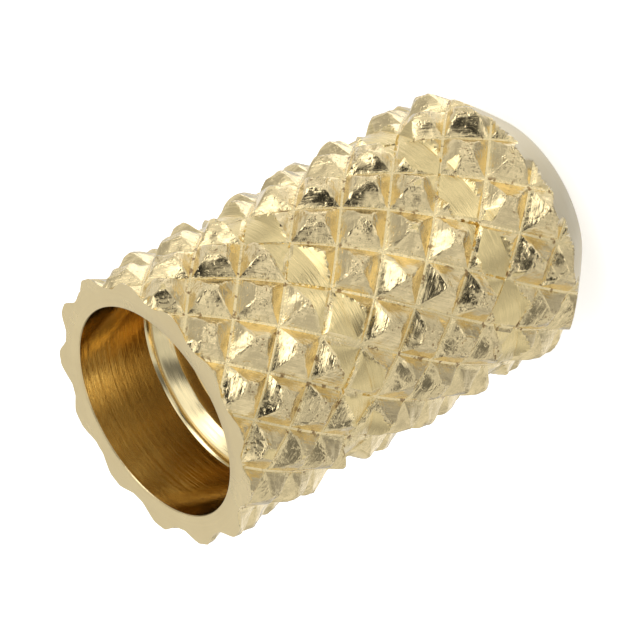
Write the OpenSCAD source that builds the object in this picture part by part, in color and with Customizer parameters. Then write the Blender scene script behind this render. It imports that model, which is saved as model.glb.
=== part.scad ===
// Brass threaded insert for a moulded or drilled hole in plastic.
// Turned from bar, diamond knurled, parted by two ring bands, counterbored at the mouth and tapped through.
// Millimetres. The insert stands on the end of its nose, and +Z runs up the axis and out of the mouth.

/* [Body] */
// Length from the end of the nose to the mouth face
length = 10; // [9.5:0.1:14]
// Diameter over the knurl crests, which is the diameter of the turned bar
crest_d = 6; // [5.9:0.05:7.5]

/* [Knurl] */
// Number of grooves of each hand around the body
groove_count = 13; // [9:1:20]
// Angle between the right-hand grooves and the axis
right_angle = 38.9; // [30:0.1:48]
// Angle between the left-hand grooves and the axis
left_angle = 44.2; // [30:0.1:48]
// Diameter at the groove roots
root_d = 5.5; // [5.3:0.05:5.7]
// Width of the crest that each diamond keeps, square to its grooves
crest_flat = 0.46; // [0.1:0.02:0.5]
// Distance from the mouth face to the first ring of groove crossings
first_crossing = 0.56; // [0:0.02:1.5]
// Direction of a groove crossing in that ring, seen from the mouth
crossing_turn = -86.5; // [-180:0.5:180]

/* [Ring bands] */
// Length of the knurl between the mouth face and the first ring band
front_knurl = 2.8; // [2:0.1:3.2]
// Length of the knurl between the two ring bands
middle_knurl = 3.14; // [2.2:0.02:3.4]
// Width of the flat floor of each ring band
band_w = 0.7; // [0.4:0.02:0.9]
// Diameter of the floor of each ring band
band_d = 5.54; // [5.4:0.02:5.8]
// Length of the sloping shoulder at the nose side of each ring band
shoulder_w = 0.22; // [0.1:0.02:0.4]

/* [Mouth and bore] */
// Diameter of the counterbore at the mouth
counterbore_d = 4.75; // [4.5:0.05:4.9]
// Depth of the counterbore wall below the mouth face
counterbore_depth = 1.76; // [0.8:0.02:3]
// Width of the broken corner at the foot of the counterbore wall
corner = 0.06; // [0.02:0.02:0.14]
// Diameter of the lead-in at the foot of the conical shelf, where the thread starts
lead_d = 4; // [3.8:0.05:4.2]
// Length of the lead-in wall
lead_len = 0.25; // [0.1:0.05:0.6]
// Diameter of the tapped hole over its thread crests
hole_d = 3.3; // [3.2:0.02:3.4]

/* [Nose] */
// Length of the tapered nose
nose_len = 1.1; // [0.5:0.1:1.4]
// Diameter of the taper where it reaches the end of the nose
nose_d = 3.95; // [3.95:0.05:4.8]
// Width of the broken outer edge at the end of the nose
nose_edge = 0.05; // [0.02:0.01:0.05]
// Width of the countersink at the nose end of the tapped hole
countersink = 0.15; // [0.05:0.05:0.2]

/* [Hidden] */

// Smoothness of the turned surfaces
round_fn = 128;
// How far a cutting shape reaches past the face that it opens
overcut = 0.5;
// Radius over the crests
crest_r = crest_d / 2;
// Radius at the groove roots
root_r = root_d / 2;
// Heights of the nose side of the two ring bands' floors
band_1_z = length - front_knurl - band_w;
band_2_z = band_1_z - shoulder_w - middle_knurl - band_w;

// Angle from one groove to the next of the same hand
groove_turn = 360 / groove_count;
// Distance from one groove to the next around the root circle
groove_pitch = 2 * PI * root_r / groove_count;
// Height from one ring of groove crossings to the next
ring_step = groove_pitch / (tan(right_angle) + tan(left_angle));
// Turn of the crossings from one ring to the next, half a groove less the difference of the two hands
ring_turn = (tan(right_angle) - tan(left_angle)) / (tan(right_angle) + tan(left_angle)) * groove_turn / 2;
// Half the distance between grooves, square to them, as the mean of the two hands
half_pitch = groove_pitch * (cos(right_angle) + cos(left_angle)) / 4;
// Rise from a groove root to the point that the flanks of a diamond would meet in
full_rise = (crest_r - root_r) * half_pitch / (half_pitch - crest_flat / 2);

// Parts that the surface between two rings of crossings is divided into
steps = 2;
// Rows of points below and above the first ring of crossings, enough to reach past both ends
rows_down = ceil((length - first_crossing + overcut) / ring_step) * steps;
rows_up = ceil((first_crossing + overcut) / ring_step) * steps;
rows = rows_down + rows_up;
// Points in a row, all round the body
points_round = 2 * steps * groove_count;

// Steps from a line of the grid to the nearest groove of one hand
function to_groove(k) = let (a = ((k % (2 * steps)) + 2 * steps) % (2 * steps)) min(a, 2 * steps - a);

// Radius of the knurled surface at a point of the grid, lowest on a groove and highest in the middle of a diamond
function knurl_r(i, j) = root_r + full_rise * min(to_groove(i + j), to_groove(i - j)) / steps;

// Place of a point of the grid, where row 0 is the first ring of crossings and rows count towards the mouth
function knurl_point(i, j) = let (
    a = crossing_turn + j * groove_turn / 2 / steps + i * ring_turn / steps,
    r = knurl_r(i, j)
) [r * cos(a), r * sin(a), length - first_crossing + i * ring_step / steps];

// The two triangles between four points of the grid, split along the groove that passes nearest
function knurl_pair(i, j) = let (
    low = (i + rows_down) * points_round,
    high = low + points_round,
    a = low + j,
    b = low + (j + 1) % points_round,
    c = high + (j + 1) % points_round,
    d = high + j
) to_groove(i + j + 1) < to_groove(i - j) ? [[a, d, b], [b, d, c]] : [[a, c, b], [a, d, c]];

// Everything inside the knurled surface, past both ends of the insert
module knurl_form() {
    points = [for (i = [-rows_down:rows_up], j = [0:points_round - 1]) knurl_point(i, j)];
    sides = [for (i = [-rows_down:rows_up - 1], j = [0:points_round - 1]) each knurl_pair(i, j)];
    bottom = [for (j = [0:points_round - 1]) j];
    top = [for (j = [points_round - 1:-1:0]) rows * points_round + j];
    polyhedron(points, concat(sides, [bottom, top]), convexity = 4);
}

// The bar as it is turned, with its tapered nose
module turned_bar() {
    taper = (crest_r - nose_d / 2) / nose_len;
    rotate_extrude($fn = round_fn)
        polygon([
            [0, 0],
            [nose_d / 2 - nose_edge, 0],
            [nose_d / 2 + taper * nose_edge, nose_edge],
            [crest_r, nose_len],
            [crest_r, length],
            [0, length]
        ]);
}

// One ring band, with a square side towards the mouth and a sloping shoulder towards the nose
module ring_band(floor_z) {
    slope = (crest_r - band_d / 2) / shoulder_w;
    reach = overcut / slope;
    translate([0, 0, floor_z])
        rotate_extrude($fn = round_fn)
            polygon([
                [band_d / 2, 0],
                [crest_r + overcut, -shoulder_w - reach],
                [crest_r + overcut, band_w],
                [band_d / 2, band_w]
            ]);
}

// The counterbore with its conical shelf, and the tapped hole with its lead-in and countersink
module bore() {
    wall_r = counterbore_d / 2;
    lead_r = lead_d / 2;
    hole_r = hole_d / 2;
    foot_z = length - counterbore_depth;
    shelf_z = foot_z - corner;
    lead_z = shelf_z - (wall_r - corner - lead_r);
    thread_z = lead_z - lead_len - (lead_r - hole_r);
    rotate_extrude($fn = round_fn)
        polygon([
            [0, -overcut],
            [hole_r + countersink + overcut, -overcut],
            [hole_r, countersink],
            [hole_r, thread_z],
            [lead_r, lead_z - lead_len],
            [lead_r, lead_z],
            [wall_r - corner, shelf_z],
            [wall_r, foot_z],
            [wall_r, length + overcut],
            [0, length + overcut]
        ]);
}

module insert() {
    color([0.84, 0.76, 0.56])
        difference() {
            intersection() {
                turned_bar();
                knurl_form();
            }
            ring_band(band_1_z);
            ring_band(band_2_z);
            bore();
        }
}

insert();
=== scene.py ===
"""Looks of the brass threaded insert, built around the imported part.

One closed mesh stands for the insert: the diamond knurl with its worn crests, the two ring bands, the turned mouth
and nose, the counterbore with its shelf, and the tapped hole. Sizes are in millimetres until a mesh is written.
"""
import math

import bmesh
import bpy
import numpy as np
from mathutils import Matrix, Vector


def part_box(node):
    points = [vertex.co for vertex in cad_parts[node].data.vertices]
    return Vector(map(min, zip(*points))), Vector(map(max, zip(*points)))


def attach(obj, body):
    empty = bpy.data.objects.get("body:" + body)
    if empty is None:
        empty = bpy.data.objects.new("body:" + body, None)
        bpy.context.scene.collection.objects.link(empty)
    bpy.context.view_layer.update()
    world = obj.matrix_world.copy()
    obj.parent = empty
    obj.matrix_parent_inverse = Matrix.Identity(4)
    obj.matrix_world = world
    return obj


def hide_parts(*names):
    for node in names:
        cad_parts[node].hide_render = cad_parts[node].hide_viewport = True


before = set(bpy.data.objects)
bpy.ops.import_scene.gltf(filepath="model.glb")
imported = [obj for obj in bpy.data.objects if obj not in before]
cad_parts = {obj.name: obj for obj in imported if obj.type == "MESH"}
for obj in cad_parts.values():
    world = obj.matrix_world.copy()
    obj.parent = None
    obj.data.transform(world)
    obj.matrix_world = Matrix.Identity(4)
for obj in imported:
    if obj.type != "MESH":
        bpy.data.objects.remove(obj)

MM = 0.001
SEED = 20417
rng = np.random.default_rng(SEED)
low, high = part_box("insert")
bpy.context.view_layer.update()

# Body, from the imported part
LENGTH = high.z / MM
CREST_R = high.x / MM

# Knurl lattice: whole numbers of a lie on right-hand grooves and whole numbers of b on left-hand ones
GROOVES = 13
GROOVE_TURN = 2 * math.pi / GROOVES
ROOT_R = 2.75
RING_STEP = 0.752
RING_TURN = math.radians(-1.337)
FIRST_RING_Z = 9.3635
FIRST_TURN = math.radians(-84.387)
# Unevenness of the spacing around the body, for each hand: parts of a pitch along the cosine and the sine
UNEVEN_A = (-0.0718, 0.1776)
UNEVEN_B = (-0.0682, -0.0157)
SLOPE_A = 0.85
SLOPE_B = 1.05
ROOT_FLAT = 0.028

# Crests that the knurling left between the grooves
CAP_RISE = 0.285
CAP_SPREAD = 0.03
CAP_TILT = 0.13
CREST_ROUND = 0.10
CREST_MARK = 0.08
HIGHEST_R = 3.082
# Domes and pits in the crests, with their shift and spread in half diamonds
PIT_DEPTH = 0.05
PIT_MEAN = 0.2
PIT_SHIFT = 0.25
PIT_SPREAD = 0.12
# Metal that the grooves pushed up along the edges of the crests, and how ragged it is
RIM_RISE = 0.03
RIM_WIDTH = 0.05
RIM_MEAN = 0.3
RIM_GAIN = 1.1
RIM_MOST = 1.5
# Torn and folded metal on the crests
TORN = 0.05
FOLDED = 0.025
FOLD_LEVEL = 0.4

# Pressed flanks, and the rise over which their dents and the drift of the grooves fade in
FLANK_SPREAD = 0.20
FLANK_BOW = 0.25
FLANK_ROUND = 0.02
FLANK_DENT = 0.028
DENT_FADE = 0.12
GROOVE_DRIFT = 0.012
DRIFT_FADE = 0.1

# Noise of each kind: the size of its features in millimetres, and its seed
DRIFT_NOISE = (0.9, 51)
DENT_NOISE = (0.42, 81)
RIM_NOISE = (0.24, 11)
TORN_NOISE = (0.30, 31)
FOLD_NOISE = (0.15, 37)
MOUTH_SHIFT_NOISE = (2.0, 95)
MOUTH_HEIGHT_NOISE = (1.2, 91)
MOUTH_ROUGH_NOISE = (0.3, 97)
ROUGH_GAIN = 0.6

# Ring bands: heights of the square side, the two ends of the floor and the top of the shoulder
BAND_R = 2.77
BANDS = [(7.2, 6.5, 6.28), (3.14, 2.44, 2.22)]
BAND_REACH = 0.3
STEP_WIDTH = 0.008
PLATE_BULGE = 0.022
PLATE_TILT = 0.05
HAIRLINE = 0.03
HAIRLINE_WIDTH = 0.024

# Nose
NOSE_END_R = 1.96
TAPER_TOP = 1.1
NOSE_CUT_Z = 0.70
NOSE_EDGE = 0.05
NOSE_ROUND = 0.03
# Heights of the rings on the taper, then inset and height of those on its broken edge, in parts of that edge
NOSE_MIDDLE_Z = 0.42
NOSE_LOW_Z = 0.2
NOSE_RINGS = [(0.014, 0.3), (0.5, 0.06), (1.2, 0.0)]

# Mouth and bore
MOUTH_LIP = 0.14
MOUTH_TIP = math.radians(-88)
MOUTH_TIP_RISE = 0.235
MOUTH_TIP_GAIN = 1.25
MOUTH_TIP_CUT = 0.12
MOUTH_VALLEY_R = 2.80
MOUTH_SHIFT = 0.03
MOUTH_SPREAD = 0.03
MOUTH_ROUGH = 0.010
MOUTH_NOISE_Z = 5.0
WALL_R = 2.375
WALL_FOOT_Z = 8.24
CORNER = 0.06
LEAD_R = 2.0
LEAD_LEN = 0.25
HOLE_R = 1.65
COUNTERSINK = 0.15
# Rings of the mouth face and the bore wall, as distances from the wall, the mouth face and the wall's foot
FACE_RING = 0.30
WALL_HIGH_RING = 0.5
WALL_LOW_RING = 0.30
WALL_LAST_RING = 0.015
# Edges as steps in radius and height from the corner that they belong to
RIM_STEPS = [(0.035, 0), (0.012, -0.006), (0, -0.03)]
FOOT_STEP = 0.012
CORNER_STEP = (0.008, 0.004)
RING_GROOVE = [(0, -0.03), (-0.035, -0.045)]
LEAD_STEPS = [(0.008, 0.008), (0, -0.01)]
# Turned lines on the conical shelf: radius, and height above the cone
SHELF_LINES = [(2.255, 0), (2.2, 0.004), (2.19, 0), (2.13, 0.003), (2.12, 0)]

# Thread: edge and flank of its groove in parts of half a pitch, and the turns over which it starts
THREAD_PITCH = 0.7
THREAD_R = 2.0
THREAD_TOP_Z = 7.265
THREAD_FOOT_Z = 0.012
THREAD_EDGE = 0.86
THREAD_FLANK = 0.68
THREAD_START = 0.5
THREAD_ROWS = 7

# Meshing: points round a turned ring, reach past the cuts, and distances that count as none
ROUND = 224
MESH_REACH = 0.1
CUT_SNAP = 1e-5
END_SNAP = 1e-4
ROW_SNAP = 1e-6
OUTSIDE_MARGIN = 0.2
GROOVE_MARK = 0.05
BAND_MARK = 0.05
GRAIN_SHIFT_ACROSS = 100
GRAIN_SHIFT_ALONG = 50
SHARP_ANGLE = math.radians(24)


def uneven(theta, parts):
    """Shift of the grooves of one hand at an angle, in parts of a pitch."""
    return parts[0] * np.cos(theta) + parts[1] * np.sin(theta)


def lattice(theta, z):
    """Lattice coordinates of a place on the surface."""
    u = (z - FIRST_RING_Z) / RING_STEP
    w = (theta - FIRST_TURN - u * RING_TURN) / (GROOVE_TURN / 2)
    return (u - w) / 2 + uneven(theta, UNEVEN_A), (u + w) / 2 + uneven(theta, UNEVEN_B)


def place(a, b):
    """Angle and height of a lattice point."""
    theta = FIRST_TURN + (a + b) * RING_TURN + (b - a) * GROOVE_TURN / 2
    for _ in range(12):
        even_a = a - uneven(theta, UNEVEN_A)
        even_b = b - uneven(theta, UNEVEN_B)
        theta = FIRST_TURN + (even_a + even_b) * RING_TURN + (even_b - even_a) * GROOVE_TURN / 2
    return theta, FIRST_RING_Z + (even_a + even_b) * RING_STEP


# Distance between neighbouring grooves of each hand, square to them
TWIST = RING_TURN / RING_STEP / GROOVE_TURN
AXIAL = 1 / RING_STEP / 2
GAP_A = 1 / math.hypot(AXIAL + TWIST, 1 / GROOVE_TURN / ROOT_R)
GAP_B = 1 / math.hypot(AXIAL - TWIST, 1 / GROOVE_TURN / ROOT_R)


def noise(theta, z, size, seed):
    """Smooth random values from -1 to 1 over the surface, with features of about that size in millimetres."""
    cells = int(round(2 * math.pi * CREST_R / size))
    rows = int(LENGTH / size) + 4
    table = np.random.default_rng(seed).uniform(-1, 1, (cells, rows))
    x = np.mod(theta / (2 * math.pi), 1.0) * cells
    y = np.clip(z / size + 1, 0, rows - 2.001)
    x0 = np.floor(x).astype(int)
    y0 = np.floor(y).astype(int)
    fx = x - x0
    fy = y - y0
    fx = fx * fx * (3 - 2 * fx)
    fy = fy * fy * (3 - 2 * fy)
    x0 %= cells
    x1 = (x0 + 1) % cells
    lower = table[x0, y0] * (1 - fx) + table[x1, y0] * fx
    upper = table[x0, y0 + 1] * (1 - fx) + table[x1, y0 + 1] * fx
    return lower * (1 - fy) + upper * fy


def fractal(theta, z, size, seed, octaves=3, gain=0.55):
    """Layers of noise, each finer and weaker than the last."""
    total = 0
    weight = 1.0
    for k in range(octaves):
        total = total + weight * noise(theta, z, size / 2 ** k, seed + k)
        weight *= gain
    return total


# Random values for each diamond, found by its ring and its place in the ring: height of the crest, its tilt both
# ways, place of its pit both ways, depth of the pit, slopes of the four flanks, and bow of the flanks of each hand
RINGS = 20
VALUES = 12
diamond_values = rng.uniform(-1, 1, (RINGS, 2 * GROOVES, VALUES))


def of_diamond(a, b):
    """The random values of the diamond that holds a lattice point."""
    i = np.floor(a).astype(int)
    j = np.floor(b).astype(int)
    return diamond_values[np.mod(i + j, RINGS), np.mod(j - i, 2 * GROOVES)]


def soft_min(one, two, width):
    """The lower of two heights, rounded where they meet."""
    mix = np.clip(0.5 + 0.5 * (two - one) / width, 0, 1)
    return two * (1 - mix) + one * mix - width * mix * (1 - mix)


def flank_height(distance, half_gap, slope, uneven_slope, bow):
    """Height of a pressed flank at a distance from its groove, uneven in slope and bowed."""
    run = np.maximum(distance - ROOT_FLAT, 0)
    along = run / half_gap
    return slope * (1 + FLANK_SPREAD * uneven_slope) * run * (1 + FLANK_BOW * bow * (1 - along))


def knurl_form(theta, z):
    """Radius of the knurled surface before the bar is turned, and how far each point lies inside a crest."""
    drift = GROOVE_DRIFT * fractal(theta, z, *DRIFT_NOISE, octaves=2)
    a, b = lattice(theta, z)
    da = np.abs(a - np.round(a)) * GAP_A
    db = np.abs(b - np.round(b)) * GAP_B
    v = of_diamond(a, b)
    x = (a - np.floor(a) - 0.5) * 2
    y = (b - np.floor(b) - 0.5) * 2
    slope_a = np.where(x < 0, v[..., 6], v[..., 7])
    slope_b = np.where(y < 0, v[..., 8], v[..., 9])
    flank_a = flank_height(da, GAP_A / 2, SLOPE_A, slope_a, v[..., 10])
    flank_b = flank_height(db, GAP_B / 2, SLOPE_B, slope_b, v[..., 11])
    flank = soft_min(flank_a, flank_b, FLANK_ROUND)
    dents = FLANK_DENT * fractal(theta, z, *DENT_NOISE, octaves=2, gain=ROUGH_GAIN)
    flank = flank + dents * np.clip(flank / DENT_FADE, 0, 1)
    cap = CAP_RISE + CAP_SPREAD * v[..., 0] + CAP_TILT * (v[..., 1] * x + v[..., 2] * y) * 0.5
    # Dome or pit in the crest, away from its middle
    px = x - PIT_SHIFT * v[..., 3]
    py = y - PIT_SHIFT * v[..., 4]
    cap = cap + PIT_DEPTH * (PIT_MEAN + v[..., 5]) * np.exp(-(px * px + py * py) / PIT_SPREAD)
    # Metal that the grooves pushed up along the edges of the crest
    inward = np.minimum((flank_a - cap) / SLOPE_A, (flank_b - cap) / SLOPE_B)
    ragged = np.clip(RIM_MEAN + RIM_GAIN * fractal(theta, z, *RIM_NOISE), 0, RIM_MOST)
    cap = cap + RIM_RISE * ragged * np.exp(-np.maximum(inward, 0) / RIM_WIDTH)
    torn = fractal(theta, z, *TORN_NOISE, octaves=2, gain=ROUGH_GAIN)
    folded = np.abs(noise(theta, z, *FOLD_NOISE)) - FOLD_LEVEL
    cap = cap + TORN * torn + FOLDED * folded
    crest = np.clip((flank - cap) / CREST_MARK + 0.5, 0, 1)
    rise = soft_min(flank, cap, CREST_ROUND)
    drifted = ROOT_R + rise + drift * np.clip(rise / DRIFT_FADE, 0, 1)
    return np.minimum(drifted, HIGHEST_R), crest


def taper_radius(z):
    """Radius of the nose taper, which is slightly rounded along its length."""
    along = np.clip(z / TAPER_TOP, 0, 2)
    round_out = NOSE_ROUND * np.clip(4 * along * (1 - along), 0, 1)
    return NOSE_END_R + (CREST_R - NOSE_END_R) * along + round_out


def turned_radius(theta, z):
    """Radius of the turned form: the taper of the nose and the two ring bands."""
    r = np.minimum(HIGHEST_R, taper_radius(z))
    floor_r = BAND_R + plate_rise(theta, z)
    for wall, floor_end, shoulder in BANDS:
        slope = (CREST_R - BAND_R) / (floor_end - shoulder)
        rise = np.maximum(floor_end - z, 0) * slope
        inside = z < wall + STEP_WIDTH / 2
        r = np.where(inside & (z > shoulder - BAND_REACH), np.minimum(r, floor_r + rise), r)
    return r


def plate_rise(theta, z):
    """Height of a band's floor, which the knurling left in slightly tilted and bulged plates."""
    a, b = lattice(theta, z)
    v = of_diamond(a, b)
    x = (a - np.floor(a) - 0.5) * 2
    y = (b - np.floor(b) - 0.5) * 2
    da = (0.5 - np.abs(x) / 2) * GAP_A
    db = (0.5 - np.abs(y) / 2) * GAP_B
    near = np.minimum(da, db)
    bulge = PLATE_BULGE * (1 - x * x) * (1 - y * y)
    tilt = PLATE_TILT * (v[..., 6] * x + v[..., 7] * y)
    line = HAIRLINE * np.maximum(0, 1 - near / HAIRLINE_WIDTH)
    return bulge + tilt - line


def mouth_radius(theta):
    """Outline of the mouth face, with the metal that facing left standing between the grooves."""
    level = np.full_like(theta, MOUTH_NOISE_Z)
    shift = MOUTH_SHIFT * noise(theta, level, *MOUTH_SHIFT_NOISE)
    wave = 0.5 + 0.5 * np.cos(GROOVES * (theta - MOUTH_TIP + shift))
    height = MOUTH_TIP_RISE + MOUTH_SPREAD * noise(theta, level, *MOUTH_HEIGHT_NOISE)
    rough = MOUTH_ROUGH * fractal(theta, level, *MOUTH_ROUGH_NOISE)
    tips = np.clip(wave * MOUTH_TIP_GAIN - MOUTH_TIP_CUT, 0, 1)
    return MOUTH_VALLEY_R + height * tips + rough


def outer_form(theta, z):
    """Radius of the finished outside, its crest value, and whether a point is turned rather than knurled."""
    knurl, crest = knurl_form(theta, z)
    turned = turned_radius(theta, z)
    r = np.minimum(knurl, turned)
    near = np.clip((z - (LENGTH - MOUTH_LIP)) / MOUTH_LIP, 0, 1)
    near = near * near * (3 - 2 * near)
    is_turned = turned <= knurl
    r = r * (1 - near) + mouth_radius(theta) * near
    return r, np.where(is_turned, 0, crest), is_turned


# Places of the grid lines between two grooves: close at the roots, where the flanks end and over the crests
HALF_LINES = [0, 0.027, 0.09, 0.17, 0.235, 0.27, 0.305, 0.35, 0.40, 0.45, 0.5]
LINES = HALF_LINES + [1 - t for t in HALF_LINES[-2:0:-1]]


def knurl_mesh():
    """The outside of the knurl as a grid along both hands of groove, a little longer than the knurl."""
    n = len(LINES)
    lines = np.array(LINES + [1.0])
    lowest = int(math.floor((NOSE_CUT_Z - MESH_REACH - FIRST_RING_Z) / RING_STEP)) - 1
    highest = int(math.ceil((LENGTH + MESH_REACH - FIRST_RING_Z) / RING_STEP)) + 1
    keys = {}
    places = []
    faces = []

    def vertex(i, j, p, q):
        i, p = i + p // n, p % n
        j, q = j + q // n, q % n
        turns = math.floor(((j * n + q) - (i * n + p)) / (2 * GROOVES * n))
        i += GROOVES * turns
        j -= GROOVES * turns
        key = (i, j, p, q)
        if key not in keys:
            keys[key] = len(places)
            places.append((i + lines[p], j + lines[q]))
        return keys[key]

    for ring in range(lowest, highest + 1):
        for around in range(2 * GROOVES):
            if (ring + around) % 2:
                continue
            i = (ring - around) // 2
            j = (ring + around) // 2
            for p in range(n):
                for q in range(n):
                    c00 = vertex(i, j, p, q)
                    c10 = vertex(i, j, p + 1, q)
                    c11 = vertex(i, j, p + 1, q + 1)
                    c01 = vertex(i, j, p, q + 1)
                    if (p < n // 2) == (q < n // 2):
                        faces.append((c00, c11, c10))
                        faces.append((c00, c01, c11))
                    else:
                        faces.append((c00, c01, c10))
                        faces.append((c10, c01, c11))
    ab = np.array(places)
    theta, z = place(ab[:, 0], ab[:, 1])
    return theta, z, faces


def cut_heights():
    """Heights at which the outside has a true edge."""
    heights = [LENGTH - MOUTH_LIP, TAPER_TOP]
    for wall, floor_end, shoulder in BANDS:
        heights += [wall, wall + STEP_WIDTH, floor_end, shoulder]
    return heights


KNURL, TURNED, FACE, BORE, SHELF, HOLE, NOSE = range(7)


def mark_turned_faces(bm):
    """Bands and taper are turned metal, the rest of the outside is knurl."""
    centres = np.array([face.calc_center_median()[:] for face in bm.faces])
    angle = np.arctan2(centres[:, 1], centres[:, 0])
    _, _, turned = outer_form(angle, centres[:, 2])
    for face, is_turned, centre in zip(bm.faces, turned, centres):
        face.material_index = KNURL
        if is_turned:
            face.material_index = NOSE if centre[2] < TAPER_TOP else TURNED


def build_outside():
    """The outside from the nose cut to the mouth as a bmesh that is open at both ends."""
    theta, z, faces = knurl_mesh()
    bm = bmesh.new()
    verts = [
        bm.verts.new((CREST_R * math.cos(t), CREST_R * math.sin(t), h)) for t, h in zip(theta, z)
    ]
    for face in faces:
        bm.faces.new([verts[k] for k in face])
    up = Vector((0, 0, 1))

    def split(height, above=False, below=False):
        bmesh.ops.bisect_plane(
            bm, geom=bm.verts[:] + bm.edges[:] + bm.faces[:], dist=CUT_SNAP,
            plane_co=Vector((0, 0, height)), plane_no=up, clear_outer=above, clear_inner=below,
        )

    split(LENGTH, above=True)
    split(NOSE_CUT_Z, below=True)
    for height in cut_heights():
        split(height)
    bmesh.ops.triangulate(bm, faces=bm.faces[:])
    # The bisections lie on the bar's cylinder, so angle and height are still true there
    co = np.array([v.co[:] for v in bm.verts])
    angle = np.arctan2(co[:, 1], co[:, 0])
    radius, _, _ = outer_form(angle, co[:, 2])
    for v, x, y in zip(bm.verts, radius * np.cos(angle), radius * np.sin(angle)):
        v.co.x = x
        v.co.y = y
    mark_turned_faces(bm)
    return bm


def end_loop(bm, height):
    """The vertices of an open end in order of angle."""
    ring = [v for v in bm.verts if abs(v.co.z - height) < END_SNAP and v.is_boundary]
    return sorted(ring, key=lambda v: math.atan2(v.co.y, v.co.x))


def circle(bm, radius, z, count=ROUND):
    """A ring of new vertices from the angle -180 degrees up."""
    step = 2 * math.pi / count
    return [
        bm.verts.new((radius * math.cos(angle), radius * math.sin(angle), z))
        for angle in (-math.pi + k * step for k in range(count))
    ]


def angle_of(v, start):
    """Angle of a vertex past a starting angle, from 0 to a full turn."""
    return (math.atan2(v.co.y, v.co.x) - start) % (2 * math.pi)


def zip_loops(bm, one, two, flip, slot):
    """Triangles between two loops that run the same way round, in order of angle."""
    start = math.atan2(one[0].co.y, one[0].co.x)

    def apart(k):
        angle = angle_of(two[k], start)
        return min(angle, 2 * math.pi - angle)

    two_from = min(range(len(two)), key=apart)
    two = two[two_from:] + two[:two_from]
    n1 = len(one)
    n2 = len(two)
    ang1 = [angle_of(v, start) for v in one] + [2 * math.pi]
    ang2 = [angle_of(v, start) for v in two] + [2 * math.pi]
    if ang2[0] > math.pi:
        ang2[0] -= 2 * math.pi
        ang2[-1] += ang2[0]
    i = 0
    j = 0
    while i < n1 or j < n2:
        if j >= n2 or (i < n1 and ang1[i + 1] <= ang2[j + 1]):
            corners = (one[i % n1], one[(i + 1) % n1], two[j % n2])
            i += 1
        else:
            corners = (one[i % n1], two[(j + 1) % n2], two[j % n2])
            j += 1
        if flip:
            corners = corners[::-1]
        face = bm.faces.new(corners)
        face.material_index = slot


def bridge(bm, one, two, slot, flip=False):
    """Quads between two circles of the same count."""
    n = len(one)
    for k in range(n):
        corners = (one[k], one[(k + 1) % n], two[(k + 1) % n], two[k])
        if flip:
            corners = corners[::-1]
        face = bm.faces.new(corners)
        face.material_index = slot


def revolve(bm, profile, slots, first=None, flip=False):
    """Circles along a profile of (radius, height), joined in turn. Returns the last circle."""
    ring = first
    for k, (radius, z) in enumerate(profile):
        new = circle(bm, radius, z)
        if ring is not None:
            bridge(bm, ring, new, slots[k], flip)
        ring = new
    return ring


def thread_strip(bm, top_ring, z_top, z_low):
    """The tapped wall below its top ring, as a grid that follows the helix. Returns the ring at its foot."""
    columns = ROUND
    rise = THREAD_PITCH / THREAD_ROWS
    first_row = int(math.floor(z_low / rise)) - THREAD_ROWS - 1
    last_row = int(math.ceil(z_top / rise)) + 1
    depth = THREAD_R - HOLE_R
    grid = {}
    table = {}

    def wall_r(turn, z):
        phase = ((z / THREAD_PITCH - turn) % 1.0)
        d = abs(phase - 0.5) * 2
        form = min(max((THREAD_EDGE - d) / THREAD_FLANK, 0), 1)
        fade = min(max((z_top - z) / (THREAD_PITCH * THREAD_START), 0), 1)
        return HOLE_R + depth * form * fade

    def vertex(c, row):
        turn = c / columns
        z = row * rise + turn * THREAD_PITCH
        z = min(max(z, z_low), z_top)
        key = (c % columns, round(z, 6))
        if key not in table:
            if abs(z - z_top) < ROW_SNAP:
                table[key] = top_ring[c % columns]
            else:
                t = -math.pi + 2 * math.pi * (c % columns) / columns
                r = wall_r(turn, z)
                if abs(z - z_low) < ROW_SNAP:
                    r = HOLE_R + COUNTERSINK
                table[key] = bm.verts.new((r * math.cos(t), r * math.sin(t), z))
        return table[key]

    for row in range(first_row, last_row):
        for c in range(columns):
            corners = [vertex(c, row), vertex(c + 1, row), vertex(c + 1, row + 1), vertex(c, row + 1)]
            loop = []
            for v in corners:
                if v not in loop:
                    loop.append(v)
            if len(loop) > 2:
                face = bm.faces.new(loop[::-1])
                face.material_index = HOLE
    return [table[(c, round(z_low, 6))] for c in range(columns)]


def stepped(radius, z, steps):
    """Points of a profile, given as steps from a corner."""
    return [(radius + out, z + up) for out, up in steps]


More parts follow.
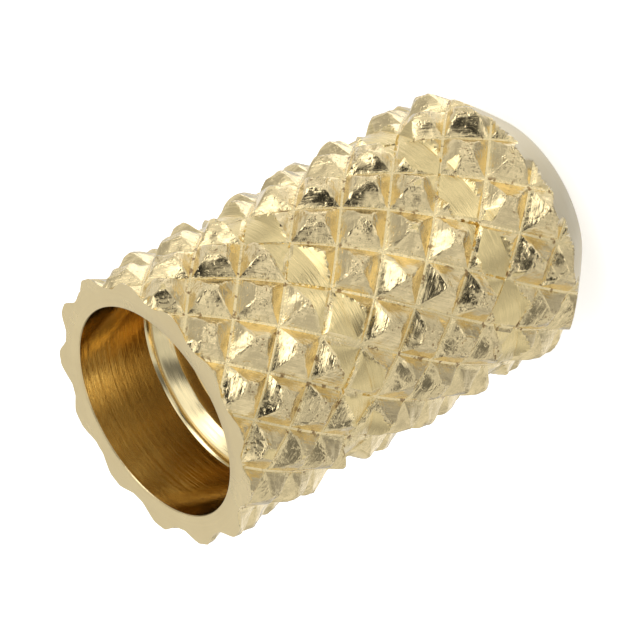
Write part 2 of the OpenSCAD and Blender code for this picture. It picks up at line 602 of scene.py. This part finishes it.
def build_insert():
    """The whole insert as one closed mesh."""
    bm = build_outside()
    mouth = end_loop(bm, LENGTH)
    nose = end_loop(bm, NOSE_CUT_Z)

    # Mouth face, from its ragged outline to the edge of the counterbore
    face_out = circle(bm, WALL_R + FACE_RING, LENGTH)
    zip_loops(bm, mouth, face_out, False, FACE)
    ring = revolve(bm, stepped(WALL_R, LENGTH, RIM_STEPS), [FACE] * 3, face_out)

    # Counterbore wall with its turned foot, a fine ring groove and the conical shelf
    corner_z = WALL_FOOT_Z - CORNER
    shelf_r = WALL_R - CORNER
    wall_heights = (LENGTH - WALL_HIGH_RING, WALL_FOOT_Z + WALL_LOW_RING, WALL_FOOT_Z + WALL_LAST_RING)
    ring = revolve(bm, [(WALL_R, z) for z in wall_heights], [BORE] * 3, ring)
    foot = [(WALL_R - FOOT_STEP, WALL_FOOT_Z)] + stepped(shelf_r, corner_z, [CORNER_STEP])
    ring = revolve(bm, foot, [SHELF] * 2, ring)
    ring = revolve(bm, stepped(shelf_r, corner_z, RING_GROOVE), [SHELF] * 2, ring)
    lead_z = corner_z - (shelf_r - LEAD_R)
    shelf = [(r, corner_z - (shelf_r - r) + lift) for r, lift in SHELF_LINES]
    shelf += stepped(LEAD_R, lead_z, LEAD_STEPS)
    ring = revolve(bm, shelf, [SHELF] * len(shelf), ring)

    # Lead-in wall and its foot, then the thread down to the countersink
    lead = [(LEAD_R, lead_z - LEAD_LEN), (HOLE_R, THREAD_TOP_Z)]
    ring = revolve(bm, lead, [HOLE] * 2, ring)
    foot = thread_strip(bm, ring, THREAD_TOP_Z, THREAD_FOOT_Z)
    nose_in = revolve(bm, [(HOLE_R + COUNTERSINK + THREAD_FOOT_Z, 0)], [NOSE], foot)

    # Nose taper down to its end face
    ring = circle(bm, float(taper_radius(NOSE_MIDDLE_Z)), NOSE_MIDDLE_Z)
    zip_loops(bm, nose, ring, True, NOSE)
    for height in (NOSE_LOW_Z, NOSE_EDGE):
        lower = circle(bm, float(taper_radius(height)), height)
        bridge(bm, ring, lower, NOSE, True)
        ring = lower
    for inset, height in NOSE_RINGS:
        lower = circle(bm, NOSE_END_R - NOSE_EDGE * inset, NOSE_EDGE * height)
        bridge(bm, ring, lower, NOSE, True)
        ring = lower
    bridge(bm, ring, nose_in, NOSE, True)
    return bm


def finish_mesh(bm, name, materials):
    """Writes the mesh in metres with its grain coordinates and returns the object."""
    bmesh.ops.recalc_face_normals(bm, faces=bm.faces[:])
    mesh = bpy.data.meshes.new(name)
    for material in materials:
        mesh.materials.append(material)
    bm.to_mesh(mesh)
    bm.free()
    co = np.empty(len(mesh.vertices) * 3)
    mesh.vertices.foreach_get("co", co)
    co = co.reshape(-1, 3)
    angle = np.arctan2(co[:, 1], co[:, 0])
    a, b = lattice(angle, co[:, 2])
    _, crest, _ = outer_form(angle, co[:, 2])
    outside = np.hypot(co[:, 0], co[:, 1]) > WALL_R + OUTSIDE_MARGIN
    # Marks of the grooves and of the square sides of the ring bands, which carry a painted highlight, brown chips
    # and chipped relief
    nearest = np.minimum(np.abs(a - np.round(a)), np.abs(b - np.round(b)))
    groove = np.exp(-(nearest / GROOVE_MARK) ** 2)
    for wall, _, _ in BANDS:
        groove = np.maximum(groove, np.exp(-((co[:, 2] - wall) / BAND_MARK) ** 2))
    for title, values in (("crest", crest), ("groove", groove)):
        mark = mesh.attributes.new(title, "FLOAT", "POINT")
        mark.data.foreach_set("value", np.where(outside, values, 0).astype(np.float32))
    # Grain: how far across the nearest groove a point lies, for the streaks that the knurling wheel left
    loops = np.empty(len(mesh.loops), dtype=np.int64)
    mesh.loops.foreach_get("vertex_index", loops)
    centre = np.empty(len(mesh.polygons) * 3)
    mesh.polygons.foreach_get("center", centre)
    centre = centre.reshape(-1, 3)
    totals = np.empty(len(mesh.polygons), dtype=np.int64)
    mesh.polygons.foreach_get("loop_total", totals)
    face_of_loop = np.repeat(np.arange(len(totals)), totals)
    face_angle = np.arctan2(centre[:, 1], centre[:, 0])
    fa, fb = lattice(face_angle, centre[:, 2])
    rise_a = np.abs(fa - np.round(fa)) * GAP_A * SLOPE_A
    rise_b = np.abs(fb - np.round(fb)) * GAP_B * SLOPE_B
    pick = (rise_a < rise_b)[face_of_loop]
    # Unwrap the vertices of faces that cross the seam
    turn = angle[loops] - face_angle[face_of_loop]
    shift = np.round(turn / (2 * math.pi)) * 2 * math.pi
    la, lb = lattice(angle[loops] - shift, co[loops, 2])
    across = np.where(pick, la * GAP_A, lb * GAP_B + GRAIN_SHIFT_ACROSS)
    along = np.where(pick, lb * GAP_B, la * GAP_A + GRAIN_SHIFT_ALONG)
    uv = mesh.uv_layers.new(name="grain")
    uv.data.foreach_set("uv", np.stack([across, along], -1).ravel().astype(np.float32))
    mesh.vertices.foreach_set("co", (co * MM).ravel())
    mesh.shade_smooth()
    mesh.set_sharp_from_angle(angle=SHARP_ANGLE)
    mesh.update()
    obj = bpy.data.objects.new(name, mesh)
    bpy.context.scene.collection.objects.link(obj)
    return obj


# Brass, as light reflects from it straight on, and copies of it that hold painted shade, a painted reflection and
# a painted highlight
BRASS = (0.915, 0.75, 0.425)
WARM_BRASS = (0.93, 0.75, 0.375)
# Darker brass for the bore and the thread: painted shade for the recess of the hole
PAINTED_SHADE_BRASS = (0.72, 0.52, 0.215)
# Paler brass for the nose: a painted reflection of pale light
PAINTED_SHEEN_BRASS = (0.90, 0.79, 0.55)
SHELF_BRASS = (0.95, 0.80, 0.46)
# Pale cream for the groove bottoms and band edges: a painted highlight
PAINTED_GROOVE_HIGHLIGHT = (0.97, 0.80, 0.44)
STAIN = (0.30, 0.18, 0.07)

# Finish of the knurl: features per millimetre, depths in millimetres, then shares and ranges
STREAKS_PER_MM = (22, 1.2, 1)
DIMPLES_PER_MM = 3.2
LUMPS_PER_MM = 5.0
POCKS_PER_MM = 11.0
GRIT_PER_MM = 14.0
PATCHES_PER_MM = 2.2
STREAK_DEPTH = 0.006
DIMPLE_DEPTH = 0.02
TORN_DEPTH = 0.045
POCK_DEPTH = 0.012
CHIP_DEPTH = 0.02
GRIT_SHARE = 0.25
POCK_RANGE = (0.60, 0.75)
POCKS_BY_CREST = 0.7
POCKS_ANYWHERE = 0.3
PIT_STAIN_RANGE = (0.40, 0.32)
CHIP_STAIN_RANGE = (0.58, 0.64)
STREAK_RANGE = (0.32, 0.66)
STREAK_SHADE = 0.89
# How far the painted groove highlight spreads out from the groove
GROOVE_HIGHLIGHT_POWER = 0.5
KNURL_ROUGHNESS = (0.12, 0.26)

# Finish of the turned surfaces
MARK_DETAIL = 4.0
MARK_ROUGHNESS = 0.65
MARKS_AROUND = 0.7
HAZE_PER_MM = 1.1
GRAIN_PER_MM = 9.0
TURNED_SHADE = 0.9
ROUGHNESS_SPREAD = (0.8, 1.25)
GRAIN_TURN = 0.25
MIDDLE_RANGE = (0.3, 0.7)

# Floor: half its side in metres, greys, clouds per metre, and its glow between two distances in millimetres; the
# glow is weaker near the part, a painted soft shadow
FLOOR_HALF = 2.0
FLOOR_GREYS = (0.92, 0.95)
FLOOR_CLOUDS = 40.0
FLOOR_ROUGHNESS = 0.9
FLOOR_GLOW = (0.55, 0.75)
GLOW_FROM = 2
GLOW_TO = 7


class Nodes:
    """Short calls for the nodes of a material or a world."""

    def __init__(self, tree):
        self.tree = tree

    def node(self, kind, **values):
        made = self.tree.nodes.new(kind)
        for key, value in values.items():
            setattr(made, key, value)
        return made

    def link(self, out, into):
        self.tree.links.new(out, into)

    def mapping(self, source, scale):
        made = self.node("ShaderNodeMapping")
        made.inputs["Scale"].default_value = scale
        self.link(source, made.inputs["Vector"])
        return made.outputs["Vector"]

    def noise(self, vector, scale, detail=3.0, roughness=0.6):
        made = self.node("ShaderNodeTexNoise")
        made.inputs["Scale"].default_value = scale
        made.inputs["Detail"].default_value = detail
        made.inputs["Roughness"].default_value = roughness
        self.link(vector, made.inputs["Vector"])
        return made.outputs["Fac"]

    def span(self, source, low_in, high_in, low_out=0, high_out=1, shape="LINEAR"):
        """The source moved from one range of values to another."""
        made = self.node("ShaderNodeMapRange", interpolation_type=shape)
        made.inputs["From Min"].default_value = low_in
        made.inputs["From Max"].default_value = high_in
        made.inputs["To Min"].default_value = low_out
        made.inputs["To Max"].default_value = high_out
        self.link(source, made.inputs["Value"])
        return made.outputs["Result"]

    def math(self, kind, one, two):
        made = self.node("ShaderNodeMath", operation=kind)
        for socket, value in zip(made.inputs, (one, two)):
            if isinstance(value, (int, float)):
                socket.default_value = value
            else:
                self.link(value, socket)
        return made.outputs["Value"]


class Finish(Nodes):
    """The nodes of a material, with its surface shader."""

    def __init__(self, name):
        self.material = bpy.data.materials.new(name)
        self.material.use_nodes = True
        super().__init__(self.material.node_tree)
        self.shader = self.tree.nodes["Principled BSDF"]

    def position(self):
        return self.node("ShaderNodeTexCoord").outputs["Object"]

    def position_mm(self):
        return self.mapping(self.position(), (1 / MM,) * 3)

    def mark(self, name):
        """A value that the mesh holds at its vertices."""
        return self.node("ShaderNodeAttribute", attribute_name=name).outputs["Fac"]

    def bump(self, height, depth, normal=None):
        """A bump of a depth in millimetres, over another one where that is given."""
        made = self.node("ShaderNodeBump")
        made.inputs["Strength"].default_value = 1.0
        made.inputs["Distance"].default_value = depth * MM
        self.link(height, made.inputs["Height"])
        if normal is not None:
            self.link(normal, made.inputs["Normal"])
        return made.outputs["Normal"]

    def tint(self, factor, dark, light):
        made = self.node("ShaderNodeMix", data_type="RGBA")
        made.inputs["A"].default_value = (*dark, 1)
        made.inputs["B"].default_value = (*light, 1)
        self.link(factor, made.inputs["Factor"])
        return made.outputs["Result"]

    def cover(self, factor, under, colour):
        """A colour laid over another node's colour by a factor."""
        made = self.node("ShaderNodeMix", data_type="RGBA")
        self.link(factor, made.inputs["Factor"])
        self.link(under, made.inputs["A"])
        made.inputs["B"].default_value = (*colour, 1)
        return made.outputs["Result"]


def brass(name, roughness, colour=BRASS):
    """The metal that all the brass materials share."""
    nodes = Finish(name)
    nodes.shader.inputs["Metallic"].default_value = 1.0
    nodes.shader.inputs["Base Color"].default_value = (*colour, 1)
    nodes.shader.inputs["Roughness"].default_value = roughness
    return nodes


def shade(colour, factor):
    return tuple(c * factor for c in colour)


def turning_height(nodes, per_mm):
    """Grooves around the axis: noise that changes along the axis and outward, and hardly around it."""
    split = nodes.node("ShaderNodeSeparateXYZ")
    nodes.link(nodes.position(), split.inputs["Vector"])
    around = nodes.math("ARCTAN2", split.outputs["Y"], split.outputs["X"])
    x2 = nodes.math("MULTIPLY", split.outputs["X"], split.outputs["X"])
    y2 = nodes.math("MULTIPLY", split.outputs["Y"], split.outputs["Y"])
    radius = nodes.math("SQRT", nodes.math("ADD", x2, y2), 0.0)
    join = nodes.node("ShaderNodeCombineXYZ")
    nodes.link(nodes.math("MULTIPLY", radius, per_mm / MM), join.inputs["X"])
    nodes.link(nodes.math("MULTIPLY", split.outputs["Z"], per_mm / MM), join.inputs["Y"])
    nodes.link(nodes.math("MULTIPLY", around, MARKS_AROUND), join.inputs["Z"])
    return nodes.noise(join.outputs["Vector"], 1.0, MARK_DETAIL, MARK_ROUGHNESS)


def knurl_material():
    """Pressed flanks with faint streaks along their grooves, torn crests and specks along the grooves."""
    nodes = brass("brass_knurl", 0.17)
    grain = nodes.node("ShaderNodeUVMap", uv_map="grain").outputs["UV"]
    position = nodes.position_mm()
    crest = nodes.mark("crest")
    groove = nodes.mark("groove")
    streaks = nodes.noise(nodes.mapping(grain, STREAKS_PER_MM), 1.0, 4.0)
    lumps = nodes.noise(position, LUMPS_PER_MM, 4.0)
    grit = nodes.noise(position, GRIT_PER_MM)
    dimples = nodes.noise(position, DIMPLES_PER_MM, 2.0)
    patches = nodes.noise(position, PATCHES_PER_MM, 2.0)
    pocks = nodes.noise(position, POCKS_PER_MM, 1.0)

    # Relief, from the broad forms to the specks
    normal = nodes.bump(streaks, STREAK_DEPTH)
    normal = nodes.bump(dimples, DIMPLE_DEPTH, normal)
    rough = nodes.math("ADD", lumps, nodes.math("MULTIPLY", grit, GRIT_SHARE))
    normal = nodes.bump(nodes.math("MULTIPLY", crest, rough), TORN_DEPTH, normal)
    where = nodes.math("ADD", nodes.math("MULTIPLY", crest, POCKS_BY_CREST), POCKS_ANYWHERE)
    pocked = nodes.math("MULTIPLY", nodes.span(pocks, *POCK_RANGE), where)
    normal = nodes.bump(pocked, -POCK_DEPTH, normal)
    normal = nodes.bump(nodes.math("MULTIPLY", groove, grit), CHIP_DEPTH, normal)
    nodes.link(normal, nodes.shader.inputs["Normal"])
    roughness = nodes.span(patches, *MIDDLE_RANGE, *KNURL_ROUGHNESS)
    nodes.link(roughness, nodes.shader.inputs["Roughness"])

    # Colour: streaked flanks, a painted highlight in the grooves, and brown in the pits of the crests and the
    # chips of the grooves
    pits = nodes.math("MULTIPLY", crest, nodes.span(grit, *PIT_STAIN_RANGE))
    chips = nodes.math("MULTIPLY", groove, nodes.span(lumps, *CHIP_STAIN_RANGE))
    colour = nodes.tint(nodes.span(streaks, *STREAK_RANGE), shade(BRASS, STREAK_SHADE), BRASS)
    # A painted highlight in the grooves
    colour = nodes.cover(nodes.math("POWER", groove, GROOVE_HIGHLIGHT_POWER), colour, PAINTED_GROOVE_HIGHLIGHT)
    colour = nodes.cover(nodes.math("MAXIMUM", pits, chips), colour, STAIN)
    nodes.link(colour, nodes.shader.inputs["Base Color"])
    return nodes.material


def turned_material(name, roughness, depth, per_mm, colour=BRASS, anisotropy=0.5, grain=0.0):
    """Turned metal with fine marks around the axis and, where it was handled, a fine grain."""
    nodes = brass(name, roughness, colour)
    height = turning_height(nodes, per_mm)
    position = nodes.position_mm()
    haze = nodes.noise(position, HAZE_PER_MM, 2.0)
    normal = nodes.bump(height, depth)
    if grain:
        normal = nodes.bump(nodes.noise(position, GRAIN_PER_MM), grain, normal)
    nodes.link(normal, nodes.shader.inputs["Normal"])
    tangent = nodes.node("ShaderNodeTangent", direction_type="RADIAL", axis="Z")
    nodes.link(tangent.outputs["Tangent"], nodes.shader.inputs["Tangent"])
    nodes.shader.inputs["Anisotropic"].default_value = anisotropy
    nodes.shader.inputs["Anisotropic Rotation"].default_value = GRAIN_TURN
    low_rough, high_rough = (roughness * spread for spread in ROUGHNESS_SPREAD)
    hazed = nodes.span(haze, *MIDDLE_RANGE, low_rough, high_rough)
    nodes.link(hazed, nodes.shader.inputs["Roughness"])
    tinted = nodes.tint(height, shade(colour, TURNED_SHADE), colour)
    nodes.link(tinted, nodes.shader.inputs["Base Color"])
    return nodes.material


def floor_material():
    """Pale card that glows, less near the part, which paints a soft shadow around it."""
    nodes = Finish("floor_white")
    nodes.shader.inputs["Roughness"].default_value = FLOOR_ROUGHNESS
    position = nodes.position()
    cloud = nodes.noise(position, FLOOR_CLOUDS, 2.0)
    dark, light = ((grey,) * 3 for grey in FLOOR_GREYS)
    nodes.link(nodes.tint(cloud, dark, light), nodes.shader.inputs["Base Color"])
    length = nodes.node("ShaderNodeVectorMath", operation="LENGTH")
    nodes.link(position, length.inputs[0])
    # Glow that grows away from the part: painted light, with a painted shadow close to it
    glow = nodes.span(length.outputs["Value"], GLOW_FROM * MM, GLOW_TO * MM, *FLOOR_GLOW)
    nodes.link(glow, nodes.shader.inputs["Emission Strength"])
    nodes.shader.inputs["Emission Color"].default_value = (1, 1, 1, 1)
    return nodes.material


# Camera: the photograph's view, as directions in the part's frame
VIEW_RIGHT = Vector((-0.49534, -0.42849, -0.75547))
VIEW_UP = Vector((0.86852, -0.23889, -0.43391))
VIEW_BACK = Vector((0.00544, -0.87136, 0.49061))
TARGET = Vector((-0.0641, -0.0061, 5.5495)) * MM
DISTANCE = 246.0 * MM
IMAGE_WIDTH = 640
FOCAL_PIXELS = 11936.0
SENSOR = 36.0
NEAREST = 0.01
FARTHEST = 10


def make_camera():
    data = bpy.data.cameras.new("camera")
    data.sensor_width = SENSOR
    data.lens = FOCAL_PIXELS / IMAGE_WIDTH * SENSOR
    data.clip_start = NEAREST
    data.clip_end = FARTHEST
    obj = bpy.data.objects.new("camera", data)
    back = VIEW_BACK.normalized()
    right = VIEW_UP.cross(back).normalized()
    up = back.cross(right)
    turn = Matrix((right, up, back)).transposed().to_4x4()
    obj.matrix_world = Matrix.Translation(TARGET + back * DISTANCE) @ turn
    bpy.context.scene.collection.objects.link(obj)
    bpy.context.scene.camera = obj


# Light: the level of the pale tent, and the size and range of its clouds
TENT_LEVEL = 0.655
CLOUD_SCALE = 2.6
CLOUD_RANGE = (0.35, 0.65)
CLOUD_LEVELS = (0.6, 1.35)

# Directions in the photograph's frame (right, up, towards the viewer), inner and outer angle in degrees, strength
TENT_LIGHTS = [
    ((-0.46, 0.52, 0.72), 8, 24, 1.7),
    ((-0.80, 0.25, 0.55), 10, 26, 0.65),
    ((-0.58, -0.08, 0.81), 14, 28, 0.45),
    ((-0.74, -0.43, -0.52), 12, 30, 0.09),
    ((0.30, -0.15, 0.94), 3, 9, 0.5),
    ((0.62, 0.50, 0.60), 5, 16, 0.5),
    ((0.53, 0.21, 0.81), 6, 18, 0.5),
    ((0.10, 0.50, -0.86), 20, 45, 0.40),
    ((0.19, 0.68, -0.71), 5, 18, 0.7),
    ((0.50, -0.12, -0.86), 6, 18, 0.35),
    ((0.30, 0.92, 0.25), 20, 50, 0.20),
    ((0.40, -0.45, 0.80), 8, 20, 0.15),
]
TENT_SHADES = [
    ((-0.06, 0.40, 0.91), 14, 21, 0.97),
    ((-0.04, 0.15, 0.99), 8, 18, 0.25),
    ((0.30, 0.62, 0.72), 6, 13, 0.6),
    ((0.08, -0.40, 0.91), 9, 18, 0.80),
    ((-0.29, -0.57, 0.77), 5, 13, 0.7),
    ((-0.72, 0.67, 0.14), 6, 22, 0.35),
    ((0.82, 0.20, -0.52), 12, 28, 0.30),
    ((0.36, 0.28, -0.89), 12, 24, 0.34),
]


def from_view(right, up, back):
    """A direction given in the photograph's frame, in the part's frame."""
    return (VIEW_RIGHT * right + VIEW_UP * up + VIEW_BACK * back).normalized()


def lobe(nodes, direction, centre, inner_deg, outer_deg, value):
    """The value inside a cone about a direction, fading to nothing at its edge."""
    dot = nodes.node("ShaderNodeVectorMath", operation="DOT_PRODUCT")
    dot.inputs[1].default_value = from_view(*centre)
    nodes.link(direction, dot.inputs[0])
    edge = math.cos(math.radians(outer_deg))
    full = math.cos(math.radians(inner_deg))
    return nodes.span(dot.outputs["Value"], edge, full, 0, value, "SMOOTHSTEP")


def make_world():
    """A pale tent of light with brighter sides and darker openings."""
    world = bpy.data.worlds.new("tent")
    bpy.context.scene.world = world
    world.use_nodes = True
    nodes = Nodes(world.node_tree)
    nodes.tree.nodes.clear()
    out = nodes.node("ShaderNodeOutputWorld")
    background = nodes.node("ShaderNodeBackground")
    nodes.link(background.outputs["Background"], out.inputs["Surface"])
    direction = nodes.node("ShaderNodeTexCoord").outputs["Generated"]
    cloud = nodes.noise(direction, CLOUD_SCALE, 2.0, 0.5)
    low_level, high_level = (TENT_LEVEL * part for part in CLOUD_LEVELS)
    level = nodes.span(cloud, *CLOUD_RANGE, low_level, high_level)
    for light in TENT_LIGHTS:
        level = nodes.math("ADD", level, lobe(nodes, direction, *light))
    for dark in TENT_SHADES:
        keep = nodes.math("SUBTRACT", 1.0, lobe(nodes, direction, *dark))
        level = nodes.math("MULTIPLY", level, keep)
    nodes.link(level, background.inputs["Strength"])
    background.inputs["Color"].default_value = (1, 1, 1, 1)


def make_floor():
    mesh = bpy.data.meshes.new("floor")
    size = FLOOR_HALF
    corners = [(-size, -size, 0), (size, -size, 0), (size, size, 0), (-size, size, 0)]
    mesh.from_pydata(corners, [], [(0, 1, 2, 3)])
    mesh.materials.append(floor_material())
    obj = bpy.data.objects.new("floor", mesh)
    # The metal mirrors the tent alone, and not the floor
    obj.visible_glossy = False
    bpy.context.scene.collection.objects.link(obj)


def make_insert():
    """The insert with a material for each kind of surface, in the order of their numbers."""
    bm = build_insert()
    materials = [
        knurl_material(),
        turned_material("brass_turned", 0.20, 0.022, 9, WARM_BRASS),
        turned_material("brass_face", 0.30, 0.003, 18, anisotropy=0.2, grain=0.010),
        # Bore and thread take the darker brass, which paints the shade inside the hole
        turned_material("brass_bore", 0.12, 0.012, 10, PAINTED_SHADE_BRASS, 0.3),
        turned_material("brass_shelf", 0.13, 0.008, 12, SHELF_BRASS, 0.3),
        turned_material("brass_thread", 0.25, 0.004, 12, PAINTED_SHADE_BRASS, 0.3),
        # The nose takes the paler brass, a painted reflection
        turned_material("brass_nose", 0.34, 0.006, 12, PAINTED_SHEEN_BRASS, 0.3),
    ]
    insert = finish_mesh(bm, "knurled_insert", materials)
    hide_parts("insert")
    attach(insert, "root")


make_camera()
make_world()
make_floor()
make_insert()
bpy.context.scene.view_settings.view_transform = "Standard"
bpy.context.scene.view_settings.look = "None"
